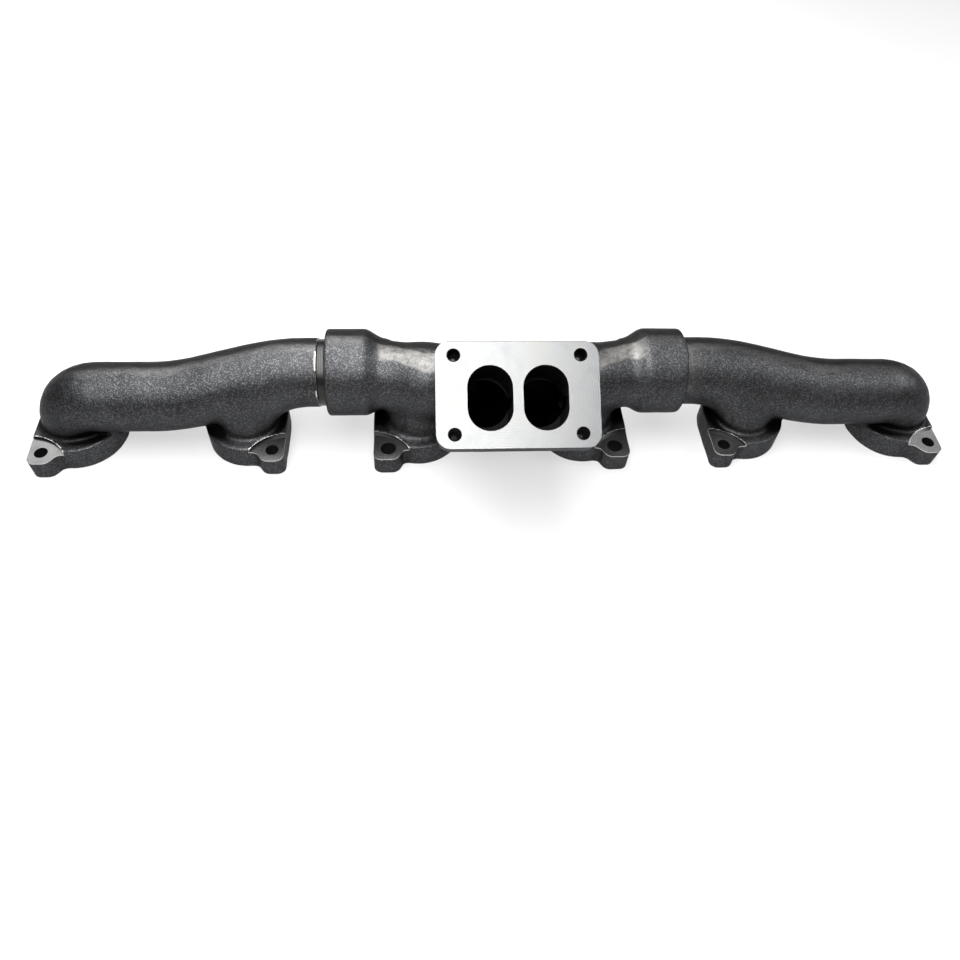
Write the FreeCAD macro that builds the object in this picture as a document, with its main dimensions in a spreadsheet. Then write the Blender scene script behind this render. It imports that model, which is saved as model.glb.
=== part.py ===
"""Three-piece exhaust manifold for a large in-line six-cylinder engine.

A centre casting carries the two middle ports, a socket at each end and the divided
turbocharger flange.  A two-port end casting plugs into each socket with a machined
spigot, sealed by three split rings.  Millimetres; X runs along the engine, the port
faces lie on Z = 0 and the gas flows up and towards -Y, to the turbocharger flange.
"""
import FreeCAD, Part
import math
import os
import Sketcher

OUT_FOLDER = "parts"
X_AXIS = FreeCAD.Vector(1, 0, 0)
Y_AXIS = FreeCAD.Vector(0, 1, 0)
Z_AXIS = FreeCAD.Vector(0, 0, 1)
SIDES = (("left", -1), ("right", 1))
RINGS_PER_JOINT = 3
FIRST_BUTT_ANGLE = 30          # degrees; the other rings' gaps are staggered evenly from it

# ---------------------------------------------------------------- driving dimensions

DIMENSIONS = {
    # ports and the faces bolted to the cylinder head
    "port_pitch": 170.0,
    "port_bore_radius": 26.0,
    "port_bore_length": 16.0,
    "disc_radius": 43.0,
    "left_cast_shift": 0.8,
    "right_cast_shift": 3.0,
    "disc_height": 25.0,
    "ear_height": 21.0,
    "ear_reach": 54.0,
    "ear_corner_radius": 8.0,
    "ear_width": 24.5,
    "center_ear_width": 27.5,
    "stud_row_offset": 40.0,
    "end_stud_offset": 25.3,
    "center_stud_offset": 30.1,
    "end_stud_hole_radius": 6.4,
    "center_stud_hole_radius": 7.7,
    "ear_edge_margin": 12.2,
    "center_ear_margin": 15.2,
    "center_ear_run_back": 19.0,
    "mill_radius": 45.0,
    "mill_offset": 30.5,
    "mill_height": 12.0,
    # log: the tube that collects the gas
    "log_radius": 34.1,
    "log_bore_radius": 27.0,
    "joint_depth": 20.0,
    "joint_height": 68.3,
    "outer_depth": 4.8,
    "outer_height": 51.5,
    "bend_near": 201.0,
    "bend_far": 341.0,
    "elbow_radius": 37.0,
    "runner_radius": 31.0,
    "runner_bore_radius": 25.0,
    "runner_bend_radius": 44.0,
    # slip joints
    "left_mouth_distance": 173.6,
    "right_mouth_distance": 180.0,
    "socket_radius": 42.8,
    "socket_length": 38.0,
    "socket_taper": 18.0,
    "taper_end_radius": 31.0,
    "socket_bore_radius": 33.4,
    "socket_bore_depth": 49.5,
    "spigot_radius": 33.0,
    "spigot_length": 46.0,
    "left_shoulder_gap": 7.6,
    "right_shoulder_gap": 1.2,
    "ring_width": 3.0,
    "ring_thickness": 2.8,
    "ring_running_gap": 0.08,
    "ring_side_gap": 0.1,
    "ring_first": 7.0,
    "ring_spacing": 7.5,
    "ring_butt_gap": 1.4,
    "groove_depth": 3.3,
    # centre body and turbocharger flange
    "middle_depth": -6.0,
    "middle_height": 70.5,
    "log_overlap": 9.0,
    "center_runner_start": 8.0,
    "center_runner_lean": 10.0,
    "center_runner_height": 66.0,
    "center_runner_top_radius": 25.0,
    "face_depth": -92.3,
    "face_height": 151.9,
    "face_slope": 58.7,
    "plate_width": 139.5,
    "plate_height": 92.5,
    "plate_thickness": 18.0,
    "plate_corner_radius": 13.0,
    "turbo_hole_spacing_wide": 108.3,
    "turbo_hole_spacing_tall": 67.7,
    "turbo_hole_radius": 5.2,
    "turbo_hole_depth": 17.0,
    "opening_width": 38.7,
    "opening_height": 56.5,
    "opening_spacing": 47.4,
    "opening_drop": 2.9,
    "neck_width": 126.0,
    "neck_height": 76.0,
    "neck_corner_radius": 26.0,
    "neck_root_width": 132.0,
    "neck_root_height": 62.0,
    "duct_root_width": 46.0,
    "duct_root_height": 52.0,
    "duct_root_spacing": 64.0,
    "neck_slope": 38.0,
    "divider_thickness": 8.0,
}

doc = FreeCAD.newDocument("exhaust_manifold")
sheet = doc.addObject("Spreadsheet::Sheet", "dims")
for row, (alias, value) in enumerate(DIMENSIONS.items(), start=1):
    sheet.set("A%d" % row, alias)
    sheet.set("B%d" % row, str(value))
    sheet.setAlias("B%d" % row, alias)
doc.recompute()


def size(alias):
    """Value of one driving dimension, read back from the sheet."""
    return float(sheet.get(alias))


# ---------------------------------------------------------------- building blocks

def bind(item, **expressions):
    """Bind properties of an object to expressions over the sheet."""
    for prop, expression in expressions.items():
        item.setExpression(prop, expression)
    return item


def aim(local_x, local_y):
    """Rotation whose first two local axes are the given directions."""
    return FreeCAD.Rotation(local_x, local_y, local_x.cross(local_y), "ZXY")


def cylinder(name, radius, height, base, axis=Z_AXIS):
    """Cylinder from a base point along an axis, with its sizes bound to the sheet."""
    item = doc.addObject("Part::Cylinder", name)
    bind(item, Radius=radius, Height=height)
    item.Placement = FreeCAD.Placement(base, FreeCAD.Rotation(Z_AXIS, axis))
    return item


def cone(name, radius, far_radius, height, base, axis):
    """Cone frustum from a base point along an axis."""
    item = doc.addObject("Part::Cone", name)
    bind(item, Radius1=radius, Radius2=far_radius, Height=height)
    item.Placement = FreeCAD.Placement(base, FreeCAD.Rotation(Z_AXIS, axis))
    return item


def bend(name, bend_radius, tube_radius, angle, center, start, heading):
    """Tube bend: starts on the side `start` of its center and sets off along `heading`."""
    item = doc.addObject("Part::Torus", name)
    bind(item, Radius1=bend_radius, Radius2=tube_radius, Angle3=angle)
    item.Placement = FreeCAD.Placement(center, aim(start, heading))
    return item


def fuse(name, items):
    item = doc.addObject("Part::MultiFuse", name)
    item.Shapes = items
    return item


def cut(name, base, tool):
    item = doc.addObject("Part::Cut", name)
    item.Base = base
    item.Tool = tool
    return item


def cut_each(base, tools):
    """Take the tools out of a solid one after another; the last cut is the result."""
    for tool in tools:
        base = cut("less_" + tool.Name, base, tool)
    return base


def extrude(name, sketch, length, direction):
    """Extrusion of a sketch, its length bound to the sheet."""
    item = doc.addObject("Part::Extrusion", name)
    item.Base = sketch
    item.DirMode = "Custom"
    item.Dir = direction
    item.Solid = True
    bind(item, LengthFwd=length)
    return item


def loft(name, sections):
    """Straight-sided loft through closed sketches."""
    item = doc.addObject("Part::Loft", name)
    item.Sections = sections
    item.Solid = True
    item.Ruled = True
    return item


def rounded_rectangle(name, width, height, radius, placement):
    """Sketch of a rectangle with round corners, centred on its placement."""
    sketch = doc.addObject("Sketcher::SketchObject", name)
    half_wide, half_tall, corner = size(width) / 2, size(height) / 2, size(radius)
    wide, tall = half_wide - corner, half_tall - corner
    corners = ((wide, -tall), (wide, tall), (-wide, tall), (-wide, -tall))
    sides = (
        ((-wide, -half_tall), (wide, -half_tall)),
        ((half_wide, -tall), (half_wide, tall)),
        ((wide, half_tall), (-wide, half_tall)),
        ((-half_wide, tall), (-half_wide, -tall)),
    )
    for turn, (side, center) in enumerate(zip(sides, corners)):
        ends = [FreeCAD.Vector(*point, 0) for point in side]
        sketch.addGeometry(Part.LineSegment(*ends))
        circle = Part.Circle(FreeCAD.Vector(*center, 0), Z_AXIS, corner)
        start = math.radians(90 * turn - 90)
        sketch.addGeometry(Part.ArcOfCircle(circle, start, start + math.pi / 2))
    for element in range(8):
        sketch.addConstraint(Sketcher.Constraint("Tangent", element, 2, (element + 1) % 8, 1))
    sketch.addConstraint(Sketcher.Constraint("Horizontal", 0))
    for arc in (3, 5, 7):
        sketch.addConstraint(Sketcher.Constraint("Equal", 1, arc))
    sketch.addConstraint(Sketcher.Constraint("Symmetric", 1, 3, 5, 3, -1, 1))
    sized = (("Radius", (1,), radius),
             ("DistanceX", (6, 1, 2, 1), width),
             ("DistanceY", (0, 1, 4, 1), height))
    for kind, elements, alias in sized:
        index = sketch.addConstraint(Sketcher.Constraint(kind, *elements, size(alias)))
        sketch.setExpression("Constraints[%d]" % index, "dims." + alias)
    sketch.Placement = placement
    return sketch


def obround(name, width, height, placement):
    """Sketch of an upright slot with round ends, centred on its placement."""
    sketch = doc.addObject("Sketcher::SketchObject", name)
    radius = size(width) / 2
    reach = size(height) / 2 - radius
    for side in (1, -1):
        ends = (FreeCAD.Vector(side * radius, -side * reach, 0),
                FreeCAD.Vector(side * radius, side * reach, 0))
        sketch.addGeometry(Part.LineSegment(*ends))
        circle = Part.Circle(FreeCAD.Vector(0, side * reach, 0), Z_AXIS, radius)
        start = 0 if side == 1 else math.pi
        sketch.addGeometry(Part.ArcOfCircle(circle, start, start + math.pi))
    for element in range(4):
        sketch.addConstraint(Sketcher.Constraint("Tangent", element, 2, (element + 1) % 4, 1))
    sketch.addConstraint(Sketcher.Constraint("Vertical", 0))
    sketch.addConstraint(Sketcher.Constraint("Symmetric", 1, 3, 3, 3, -1, 1))
    index = sketch.addConstraint(Sketcher.Constraint("Radius", 1, radius))
    sketch.setExpression("Constraints[%d]" % index, "dims.%s / 2" % width)
    index = sketch.addConstraint(Sketcher.Constraint("DistanceY", 3, 3, 1, 3, 2 * reach))
    sketch.setExpression("Constraints[%d]" % index, "dims.%s - dims.%s" % (height, width))
    sketch.Placement = placement
    return sketch


# ---------------------------------------------------------------- port flanges

def ear_side(family):
    """Names of the dimensions that differ between end and centre flanges."""
    if family == "end":
        return "end_stud_offset", "end_stud_hole_radius", "ear_edge_margin", "ear_width"
    return "center_stud_offset", "center_stud_hole_radius", "center_ear_margin", "center_ear_width"


def ear(name, port_x, family, toward, front):
    """Bolt ear: a block with two round corners, level with the milled pad."""
    offset, _, margin, width = ear_side(family)
    run_back = size("center_ear_run_back") if family == "center" else 0.0
    block = doc.addObject("Part::Box", name + "_block")
    bind(block, Length="dims." + width, Width="dims.ear_reach + %g" % run_back, Height="dims.ear_height")
    outer = port_x + toward * (size(offset) + size(margin))
    corner_x = outer if toward < 0 else outer - size(width)
    corner_y = -size("ear_reach") if front else -run_back
    block.Placement.Base = FreeCAD.Vector(corner_x, corner_y, 0)
    doc.recompute()
    tip = -size("ear_reach") if front else size("ear_reach")
    rounded = doc.addObject("Part::Fillet", name)
    rounded.Base = block
    radius = size("ear_corner_radius")
    edges = []
    for number, edge in enumerate(block.Shape.Edges, start=1):
        upright = abs(edge.tangentAt(edge.FirstParameter).z) > 0.9
        if upright and abs(edge.CenterOfMass.y - tip) < 0.1:
            edges.append((number, radius, radius))
    rounded.Edges = edges
    return rounded


def stud_places(port_x, family, toward):
    """The two bolt holes of a port, diagonally opposite across its bore."""
    offset = size(ear_side(family)[0])
    row = size("stud_row_offset")
    return ((port_x + toward * offset, -row, True), (port_x - toward * offset, row, False))


def port_flange(name, port_x, family, toward, shift):
    """Solid flange of one port; `toward` is the side of its front ear.

    The cast disc sits a little off the bore, and its flank is flush with the front ear.
    """
    disc = cylinder(name + "_disc", "dims.disc_radius", "dims.disc_height",
                    FreeCAD.Vector(port_x + shift, 0, 0))
    offset, _, margin, _ = ear_side(family)
    flank = toward * (size(offset) + size(margin))
    if abs(flank - shift) < size("disc_radius"):
        beyond = doc.addObject("Part::Box", name + "_flank")
        bind(beyond, Length="dims.disc_radius", Width="2 * dims.disc_radius", Height="dims.disc_height")
        near_x = port_x + flank if toward > 0 else port_x + flank - size("disc_radius")
        beyond.Placement.Base = FreeCAD.Vector(near_x, -size("disc_radius"), 0)
        disc = cut(name + "_trimmed_disc", disc, beyond)
    front = ear(name + "_front_ear", port_x, family, toward, True)
    back = ear(name + "_back_ear", port_x, family, -toward, False)
    return [disc, front, back]


def port_cutters(name, port_x, family, toward):
    """What is machined from one port flange: bore, bolt holes and milled pads."""
    _, hole_radius, _, _ = ear_side(family)
    tools = [cylinder(name + "_bore", "dims.port_bore_radius", "dims.port_bore_length",
                      FreeCAD.Vector(port_x, 0, 0))]
    for x, y, front in stud_places(port_x, family, toward):
        label = name + ("_front" if front else "_back")
        tools.append(cylinder(label + "_hole", "dims." + hole_radius, "dims.disc_height",
                              FreeCAD.Vector(x, y, 0)))
        outward = FreeCAD.Vector(x - port_x, y, 0).normalize()
        center = FreeCAD.Vector(x, y, size("ear_height")) + outward * size("mill_offset")
        tools.append(cylinder(label + "_pad", "dims.mill_radius", "dims.mill_height", center))
    return tools


# ---------------------------------------------------------------- end castings

def sweep_direction():
    """Unit vector from the joint axis towards the lower, nearer outer axis of the log."""
    step = FreeCAD.Vector(0, size("outer_depth") - size("joint_depth"),
                          size("outer_height") - size("joint_height"))
    return step / step.Length, step.Length


def end_tube(tag, side, sign, tube, runner, near):
    """Log, outer elbow and inner runner of an end casting, as skin or as gas way.

    The log leaves the joint, shifts through two equal opposite bends and turns down
    into the outer port; the runner of the inner port bends up into the log.
    """
    out = X_AXIS * sign
    slope, shift = sweep_direction()
    length = size("bend_far") - size("bend_near")
    turn = 2 * math.atan2(shift, length)
    offset = "sqrt((dims.joint_depth - dims.outer_depth)^2 + (dims.joint_height - dims.outer_height)^2)"
    run = "(dims.bend_far - dims.bend_near)"
    angle = "2 * atan(%s / %s)" % (offset, run)
    bend_radius = "%s / (2 * sin(%s))" % (run, angle)
    radius = length / (2 * math.sin(turn))
    joint = FreeCAD.Vector(0, size("joint_depth"), size("joint_height"))
    outer = FreeCAD.Vector(0, size("outer_depth"), size("outer_height"))
    elbow = size("elbow_radius")
    shift = size(side + "_cast_shift")
    outer_port = 2.5 * size("port_pitch") + shift
    inner_port = 1.5 * size("port_pitch") + shift
    tube = "dims." + tube
    runner = "dims." + runner
    pieces = [
        cylinder(tag + "_log_near", tube, "dims.bend_near - %g" % near, joint + out * near, out),
        bend(tag + "_bend_near", bend_radius, tube, angle,
             joint + out * size("bend_near") + slope * radius, slope * -1, out),
        bend(tag + "_bend_far", bend_radius, tube, angle,
             outer + out * size("bend_far") - slope * radius, slope, out * -1),
        cylinder(tag + "_log_far", tube,
                 "2.5 * dims.port_pitch + dims.%s_cast_shift - dims.elbow_radius - dims.bend_far" % side,
                 outer + out * size("bend_far"), out),
        bend(tag + "_elbow", "dims.elbow_radius", tube, "90",
             outer + out * (outer_port - elbow) - Z_AXIS * elbow, Z_AXIS, out),
    ]
    # the runner's bend lies in an upright plane turned to meet the joint axis
    rise = size("runner_bend_radius")
    aside = math.asin(size("joint_depth") / rise)
    heading = FreeCAD.Vector(-sign * math.cos(aside), math.sin(aside), 0)
    foot = FreeCAD.Vector(sign * inner_port, 0, 0)
    foot_height = "dims.joint_height - dims.runner_bend_radius"
    pieces.append(cylinder(tag + "_runner_foot", runner, foot_height, foot))
    center = foot + Z_AXIS * (size("joint_height") - rise) + heading * rise
    pieces.append(bend(tag + "_runner_bend", "dims.runner_bend_radius", runner, "90",
                       center, heading * -1, Z_AXIS))
    return pieces


def spigot(tag, sign, shoulder):
    """Machined plug of an end casting, with its ring grooves."""
    length = size("spigot_length")
    joint = FreeCAD.Vector(0, size("joint_depth"), size("joint_height"))
    tip = joint + X_AXIS * sign * (shoulder - length)
    out = X_AXIS * sign
    plug = cylinder(tag + "_plug", "dims.spigot_radius", "dims.spigot_length + 1", tip, out)
    width = "dims.ring_width + 2 * dims.ring_side_gap"
    for number in range(RINGS_PER_JOINT):
        start = ring_center(number) - size("ring_width") / 2 - size("ring_side_gap")
        label = "%s_groove_%d" % (tag, number + 1)
        outer = cylinder(label + "_outer", "dims.spigot_radius + 1", width, tip + out * start, out)
        core = cylinder(label + "_core", "dims.spigot_radius - dims.groove_depth",
                        width, tip + out * start, out)
        plug = cut(label, plug, cut(label + "_ring", outer, core))
    return plug


def ring_center(number):
    """Distance of a seal ring's middle from the tip of the spigot."""
    return size("ring_first") + number * size("ring_spacing")


def end_casting(side, sign):
    """One two-port end casting."""
    shoulder = size(side + "_mouth_distance") + size(side + "_shoulder_gap")
    ports = ((1.5 * size("port_pitch"), -1), (2.5 * size("port_pitch"), 1))
    skin = end_tube(side + "_skin", side, sign, "log_radius", "runner_radius", shoulder)
    skin.append(spigot(side, sign, shoulder))
    tip = shoulder - size("spigot_length")
    voids = end_tube(side + "_gas", side, sign, "log_bore_radius", "runner_bore_radius", tip - 1)
    for number, (distance, ear_side_sign) in enumerate(ports):
        label = "%s_port_%d" % (side, number + 1)
        toward = sign * ear_side_sign
        skin += port_flange(label, sign * distance, "end", toward, sign * size(side + "_cast_shift"))
        voids += port_cutters(label, sign * distance, "end", toward)
    casting = cut_each(fuse(side + "_end_skin", skin), voids)
    casting.Label = side + "_end_casting"
    return casting


# ---------------------------------------------------------------- centre casting

def face_placement(setback=0.0, aside=0.0):
    """Plane of the turbocharger flange: local X along the engine, local Z outward."""
    slope = math.radians(size("face_slope"))
    normal = FreeCAD.Vector(0, -math.cos(slope), math.sin(slope))
    base = FreeCAD.Vector(aside, size("face_depth"), size("face_height")) - normal * setback
    return FreeCAD.Placement(base, aim(X_AXIS, normal.cross(X_AXIS))), normal


def root_placement(aside=0.0):
    """Plane across the middle of the log where the neck to the flange starts."""
    slope = math.radians(size("neck_slope"))
    normal = FreeCAD.Vector(0, -math.cos(slope), math.sin(slope))
    base = FreeCAD.Vector(aside, size("middle_depth"), size("middle_height"))
    return FreeCAD.Placement(base, aim(X_AXIS, normal.cross(X_AXIS)))


def turbo_flange():
    """Rectangular plate and the neck behind it."""
    place, normal = face_placement(size("plate_thickness"))
    plate_outline = rounded_rectangle("plate_outline", "plate_width", "plate_height",
                                      "plate_corner_radius", place)
    plate = extrude("turbo_plate", plate_outline, "dims.plate_thickness", normal)
    neck_top = rounded_rectangle("neck_top", "neck_width", "neck_height", "neck_corner_radius", place)
    neck_root = rounded_rectangle("neck_root", "neck_root_width", "neck_root_height",
                                  "neck_corner_radius", root_placement())
    return [plate, loft("turbo_neck", [neck_top, neck_root])]


def turbo_cutters():
    """Twin openings, their ducts down to the log, and the tapped holes."""
    tools = []
    for side, sign in SIDES:
        back, normal = face_placement(size("plate_thickness"), sign * size("opening_spacing") / 2)
        back.Base += back.Rotation.multVec(Y_AXIS) * -size("opening_drop")
        mouth = obround(side + "_opening", "opening_width", "opening_height", back)
        tools.append(extrude(side + "_opening_cut", mouth, "dims.plate_thickness + 1", normal))
        root = obround(side + "_duct_root", "duct_root_width", "duct_root_height",
                       root_placement(sign * size("duct_root_spacing") / 2))
        tools.append(loft(side + "_duct", [mouth, root]))
        for level, step in (("low", -1), ("high", 1)):
            place, normal = face_placement(size("turbo_hole_depth"))
            spot = FreeCAD.Vector(sign * size("turbo_hole_spacing_wide") / 2,
                                  step * size("turbo_hole_spacing_tall") / 2, 0)
            tools.append(cylinder("turbo_hole_%s_%s" % (side, level), "dims.turbo_hole_radius",
                                  "dims.turbo_hole_depth + 1", place.multVec(spot), normal))
    return tools


def center_half(side, sign):
    """Socket, log and port of one half of the centre casting: skin and voids."""
    out = X_AXIS * sign
    joint = FreeCAD.Vector(0, size("joint_depth"), size("joint_height"))
    throat = size(side + "_mouth_distance") - size("socket_length") - size("socket_taper")
    middle = FreeCAD.Vector(0, size("middle_depth"), size("middle_height"))
    log_start = joint + out * (throat + size("socket_taper"))
    log_axis = middle - log_start
    log_length = "%g + dims.log_overlap" % log_axis.Length
    port_x = sign * size("port_pitch") / 2
    foot = FreeCAD.Vector(port_x, 0, size("center_runner_start"))
    runner_top = foot + FreeCAD.Vector(0, size("center_runner_lean"),
                                       size("center_runner_height") - size("center_runner_start"))
    runner_axis = runner_top - foot
    skin = [
        cylinder(side + "_socket", "dims.socket_radius", "dims.socket_length",
                 joint + out * size(side + "_mouth_distance"), out * -1),
        cone(side + "_socket_taper", "dims.socket_radius", "dims.taper_end_radius", "dims.socket_taper",
             joint + out * (throat + size("socket_taper")), out * -1),
        cylinder(side + "_center_log", "dims.log_radius", log_length, log_start, log_axis),
        cone(side + "_center_runner", "dims.runner_radius", "dims.center_runner_top_radius",
             "%g" % runner_axis.Length, foot, runner_axis),
    ]
    skin += port_flange(side + "_center_port", port_x, "center", sign, 0.0)
    # the slanting end of the bore must not break through the dividing wall
    slant = abs(log_axis.y) / log_axis.Length
    divider = size("divider_thickness") / 2 + size("log_bore_radius") * slant
    bore_end = log_start + log_axis * (1 - divider / abs(log_axis.x))
    voids = [
        cylinder(side + "_socket_bore", "dims.socket_bore_radius", "dims.socket_bore_depth + 1",
                 joint + out * (size(side + "_mouth_distance") + 1), out * -1),
        cylinder(side + "_center_bore", "dims.log_bore_radius", "%g" % (bore_end - log_start).Length,
                 log_start, log_axis),
        cylinder(side + "_center_runner_bore", "dims.runner_bore_radius",
                 "%g" % (runner_axis.Length), foot, runner_axis),
    ]
    voids += port_cutters(side + "_center_port", port_x, "center", sign)
    return skin, voids


def center_casting():
    skin = turbo_flange()
    voids = turbo_cutters()
    for side, sign in SIDES:
        half_skin, half_voids = center_half(side, sign)
        skin += half_skin
        voids += half_voids
    casting = cut_each(fuse("center_skin", skin), voids)
    casting.Label = "center_casting"
    return casting


# ---------------------------------------------------------------- seal rings

def seal_ring(side, sign, number):
    """Split ring of square section that seals the spigot in its socket."""
    name = "%s_seal_ring_%d" % (side, number + 1)
    body = doc.addObject("PartDesign::Body", name)
    plane = [f for f in body.Origin.OriginFeatures if f.Role == "YZ_Plane"][0]
    outline = body.newObject("Sketcher::SketchObject", name + "_outline")
    outline.AttachmentSupport = [(plane, "")]
    outline.MapMode = "FlatFace"
    outer = size("socket_bore_radius") - size("ring_running_gap")
    radii = ((outer, "dims.socket_bore_radius - dims.ring_running_gap"),
             (outer - size("ring_thickness"),
              "dims.socket_bore_radius - dims.ring_running_gap - dims.ring_thickness"))
    for element, (radius, expression) in enumerate(radii):
        outline.addGeometry(Part.Circle(FreeCAD.Vector(0, 0, 0), Z_AXIS, radius))
        outline.addConstraint(Sketcher.Constraint("Coincident", element, 3, -1, 1))
        index = outline.addConstraint(Sketcher.Constraint("Radius", element, radius))
        outline.setExpression("Constraints[%d]" % index, expression)
    pad = body.newObject("PartDesign::Pad", name + "_pad")
    pad.Profile = outline
    pad.Midplane = True
    pad.setExpression("Length", "dims.ring_width")
    doc.recompute()
    whole = body.Shape.Volume
    slit = body.newObject("Sketcher::SketchObject", name + "_slit")
    slit.AttachmentSupport = [(plane, "")]
    slit.MapMode = "FlatFace"
    half = size("ring_butt_gap") / 2
    inner, far = outer - 2 * size("ring_thickness"), outer + 1
    corners = [FreeCAD.Vector(x, y, 0)
               for x, y in ((inner, -half), (far, -half), (far, half), (inner, half))]
    for element in range(4):
        slit.addGeometry(Part.LineSegment(corners[element], corners[(element + 1) % 4]))
    for element in range(4):
        slit.addConstraint(Sketcher.Constraint("Coincident", element, 2, (element + 1) % 4, 1))
    pocket = body.newObject("PartDesign::Pocket", name + "_butt_gap")
    pocket.Profile = slit
    pocket.Midplane = True
    pocket.Type = "ThroughAll"
    doc.recompute()
    if not body.Shape.Volume < whole:
        raise RuntimeError(name + ": the butt gap is not cut")
    shoulder = size(side + "_mouth_distance") + size(side + "_shoulder_gap")
    center = shoulder - size("spigot_length") + ring_center(number)
    base = FreeCAD.Vector(sign * center, size("joint_depth"), size("joint_height"))
    stagger = FreeCAD.Rotation(X_AXIS, 360.0 / RINGS_PER_JOINT * number + FIRST_BUTT_ANGLE)
    body.Placement = FreeCAD.Placement(base, stagger)
    body.Label = name
    return body


# ---------------------------------------------------------------- assembly and export

parts = [center_casting()]
for side_name, side_sign in SIDES:
    parts.append(end_casting(side_name, side_sign))
    for ring_number in range(RINGS_PER_JOINT):
        parts.append(seal_ring(side_name, side_sign, ring_number))
doc.recompute()

for item in doc.Objects:
    if "Invalid" in item.State or "Error" in item.State:
        raise RuntimeError("%s failed: %s" % (item.Name, item.State))
os.makedirs(OUT_FOLDER, exist_ok=True)
for part in parts:
    shape = part.Shape
    if shape.isNull() or not shape.isValid():
        raise RuntimeError(part.Label + " has no valid shape")
    if len(shape.Solids) != 1:
        raise RuntimeError("%s is %d solids" % (part.Label, len(shape.Solids)))
    shape.exportStep(os.path.join(OUT_FOLDER, part.Label + ".step"))
    box = shape.BoundBox
    print("%-22s %9.1f cm3  x %8.1f..%8.1f  y %7.1f..%7.1f  z %6.1f..%6.1f" % (
        part.Label, shape.Volume / 1000, box.XMin, box.XMax, box.YMin, box.YMax, box.ZMin, box.ZMax))
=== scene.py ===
"""Looks of the exhaust manifold: sand-cast skins, machined faces, seal rings, studio."""
import math

import bmesh
import bpy
import numpy as np
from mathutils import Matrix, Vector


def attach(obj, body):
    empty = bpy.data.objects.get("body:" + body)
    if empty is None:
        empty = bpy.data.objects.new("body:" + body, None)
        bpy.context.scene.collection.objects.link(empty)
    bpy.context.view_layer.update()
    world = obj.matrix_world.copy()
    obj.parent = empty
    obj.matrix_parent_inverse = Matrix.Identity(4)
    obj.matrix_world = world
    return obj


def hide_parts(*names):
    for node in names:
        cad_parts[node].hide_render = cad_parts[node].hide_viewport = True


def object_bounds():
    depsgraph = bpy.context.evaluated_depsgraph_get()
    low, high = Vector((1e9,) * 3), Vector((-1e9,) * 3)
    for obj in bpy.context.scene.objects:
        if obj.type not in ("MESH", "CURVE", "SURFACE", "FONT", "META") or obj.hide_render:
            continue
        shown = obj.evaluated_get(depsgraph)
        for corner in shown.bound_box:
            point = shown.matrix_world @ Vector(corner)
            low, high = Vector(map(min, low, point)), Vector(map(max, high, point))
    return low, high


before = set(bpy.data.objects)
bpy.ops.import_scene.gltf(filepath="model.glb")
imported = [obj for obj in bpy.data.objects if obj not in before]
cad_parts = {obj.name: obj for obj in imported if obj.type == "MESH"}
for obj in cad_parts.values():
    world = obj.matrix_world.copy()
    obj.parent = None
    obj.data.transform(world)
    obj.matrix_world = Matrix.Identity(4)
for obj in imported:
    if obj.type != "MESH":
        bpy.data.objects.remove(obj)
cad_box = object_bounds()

import openvdb
from mathutils import Matrix, Vector

MM = 0.001
VOXEL = 1.5      # grid of the cast skins, mm
CAD_LOW, CAD_HIGH = (np.array(corner) / MM for corner in cad_box)
BOX_MARGIN = 0.1                        # the skin stays this far inside the frame's box, mm
LEAST_LEFT = 0.2                        # share of the faces that any cut leaves
PAPER_GLOW = 0.54                       # light that the paper gives off by itself

# ------------------------------------------------------------ dimensions, mm, as in the design

PITCH = 170.0
END_PORTS = ((1.5, -1), (2.5, 1))       # pitches from the middle, side of the front ear
LOG_R, LOG_BORE = 34.1, 27.0
JOINT_Y, JOINT_Z = 20.0, 68.3
OUTER_Y, OUTER_Z = 4.8, 51.5
BEND_NEAR = {"left": 196.0, "right": 200.0}
BEND_FAR = {"left": 344.0, "right": 350.0}
ELBOW_R, LIMB_TAPER = 30.0, 2.3
CAST_SHIFT = {"left": 0.8, "right": 3.0}
MOUTH = {"left": 173.6, "right": 180.0}
SHOULDER_GAP = {"left": 7.6, "right": 1.2}
SOCKET_R, SOCKET_LENGTH, SOCKET_TAPER = 42.8, 36.0, 24.0
SOCKET_BORE, SOCKET_DEPTH = 33.4, 49.5
SPIGOT_R, SPIGOT_LENGTH = 33.0, 46.0
RING_FIRST, RING_STEP, RING_WIDTH = 7.0, 7.5, 3.2
GROOVE_DEPTH = 3.3
DISC_R, DISC_H, EAR_H = 43.0, 24.2, 21.0
EAR_REACH, EAR_CORNER = 54.0, 9.0
STUD_ROW = 40.0
END = {"offset": 25.3, "hole": 6.4, "margin": 12.2, "width": 24.5, "back": 6.0}
CENTER = {"offset": 30.1, "hole": 7.7, "margin": 15.2, "width": 27.5, "back": 19.0}
MILL_R, MILL_OFFSET = 45.0, 30.5
PORT_BORE, PORT_BORE_DEPTH = 26.0, 11.5
RUNNER_R, RUNNER_BORE, RUNNER_BEND, RUNNER_DROP = 31.0, 25.0, 44.0, 7.0
MIDDLE_Y, MIDDLE_Z = -6.0, 70.5
DUCT_R, DUCT_BORE, DIVIDER_REACH = 31, 19.5, 34
STEM_HALF, STEM_BACK, STEM_DROP, STEM_CORNER = (56, 34, 26), 34, 1, 24
FACE = np.array((0.0, -92.3, 151.9))
FACE_SLOPE = math.radians(58.7)
PLATE_W, PLATE_T, PLATE_CORNER = 139.5, 18.0, 13.0
PLATE_H = 92.5
TAP_WIDE, TAP_TALL, TAP_R, TAP_DEPTH = 108.3, 67.7, 5.2, 17.0
OPENING_W, OPENING_H, OPENING_DEPTH = 38.7, 56.5, 46.0
OPENING_SPACING, OPENING_DROP = 47.4, 2.9
CUTTER_AXIS = FACE + (-12, -3, 0)       # where the cutter that faced the flange turned
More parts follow.
